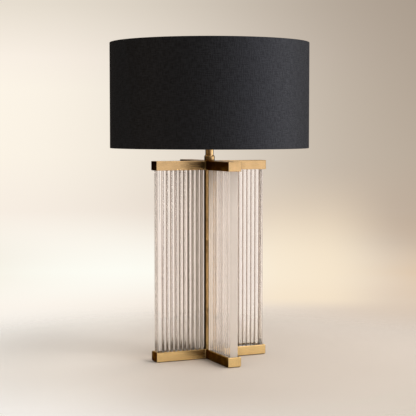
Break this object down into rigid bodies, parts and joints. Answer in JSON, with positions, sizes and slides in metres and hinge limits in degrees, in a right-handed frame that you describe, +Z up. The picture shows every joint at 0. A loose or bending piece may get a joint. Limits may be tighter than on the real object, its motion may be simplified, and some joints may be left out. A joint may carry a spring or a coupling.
{
  "type": "table lamp",
  "caption": "Table lamp with ribbed glass fins between two brass crosses round a square column, and a wide drum shade on a harp.",
  "frame": {"origin": "on the floor under the lamp's axis", "axes": "+Z up, -Y towards the front bar, the cord inlet in the end of the +Y bar"},
  "size_m": [0.457, 0.457, 0.7374],
  "materials": {
    "antique_brass": "satin, brushed along the bars, lacquered antique tone",
    "polished_brass": "polished, lacquered",
    "ribbed_glass": "clear cast glass, fire-polished ribs",
    "clear_cushion": "clear soft cushion strip",
    "black_weave": "tight plain weave, matt",
    "shade_lining": "satin white styrene sheet",
    "foot_felt": "pressed felt",
    "zinc_steel": "zinc plated",
    "ring_wire": "white powder coat",
    "black_resin": "moulded resin, semi-gloss",
    "fibre_card": "grey-brown fibre card",
    "bulb_aluminium": "rolled, satin",
    "opal_glass": "opal white, satin"
  },
  "bodies": {
    "lamp_base": {"foot_pads": "foot_felt", "bottom_cross": "antique_brass", "base_washer": "zinc_steel", "base_nut": "zinc_steel", "cord_inlet_bush": "black_resin", "column": "antique_brass", "threaded_pipe": "zinc_steel", "glass_fin_front": "ribbed_glass", "glass_fin_left": "ribbed_glass", "glass_fin_back": "ribbed_glass", "glass_fin_right": "ribbed_glass", "glass_seats_lower": "clear_cushion", "glass_seats_upper": "clear_cushion", "top_cross": "antique_brass", "neck_collar": "antique_brass", "neck_stem": "polished_brass", "harp_saddle": "polished_brass", "harp": "polished_brass", "harp_stud": "polished_brass", "holder_cap": "polished_brass", "cap_set_screw": "zinc_steel", "holder_shell": "polished_brass", "holder_card_sleeve": "fibre_card", "switch_housing": "black_resin", "terminal_screws": "zinc_steel", "screw_shell": "bulb_aluminium", "centre_contact": "polished_brass"},
    "sleeve_left": {"harp_sleeve_left": "polished_brass"},
    "sleeve_right": {"harp_sleeve_right": "polished_brass"},
    "switch": {"switch_shaft": "zinc_steel", "switch_knob": "black_resin"},
    "bulb_thread": {"bulb_cap": "bulb_aluminium"},
    "bulb": {"bulb_globe": "opal_glass"},
    "shade": {"shade_fabric": "black_weave", "shade_liner": "shade_lining", "shade_top_ring": "ring_wire", "shade_bottom_ring": "ring_wire", "shade_spider": "ring_wire"},
    "finial_thread": {"finial_insert": "polished_brass"},
    "finial": {"finial_knob": "polished_brass"}
  },
  "joints": [
    {"name": "shade_turn", "type": "hinge", "parent": "lamp_base", "child": "shade", "pos_m": [0, 0, 0.7124], "axis": [0, 0, 1], "continuous": true},
    {"name": "switch_turn", "type": "hinge", "parent": "lamp_base", "child": "switch", "pos_m": [0, -0.025, 0.5201], "axis": [0, -1, 0], "continuous": true},
    {"name": "sleeve_left_lift", "type": "slide", "parent": "lamp_base", "child": "sleeve_left", "axis": [0, 0, 1], "range_m": [0, 0.012]},
    {"name": "sleeve_right_lift", "type": "slide", "parent": "lamp_base", "child": "sleeve_right", "axis": [0, 0, 1], "range_m": [0, 0.012]},
    {"name": "bulb_rise", "type": "slide", "parent": "lamp_base", "child": "bulb_thread", "axis": [0, 0, 1], "range_m": [0, 0.00907]},
    {"name": "bulb_turn", "type": "hinge", "parent": "bulb_thread", "child": "bulb", "pos_m": [0, 0, 0.58], "axis": [0, 0, 1], "range_deg": [0, 905]},
    {"name": "finial_rise", "type": "slide", "parent": "lamp_base", "child": "finial_thread", "axis": [0, 0, 1], "range_m": [0, 0.00753]},
    {"name": "finial_turn", "type": "hinge", "parent": "finial_thread", "child": "finial", "pos_m": [0, 0, 0.725], "axis": [0, 0, 1], "range_deg": [0, 2890]}
  ],
  "couplings": [
    {"joint": "bulb_turn", "follows": "bulb_rise", "rad_per_m": 1731.4},
    {"joint": "finial_turn", "follows": "finial_rise", "rad_per_m": 6677.1}
  ]
}
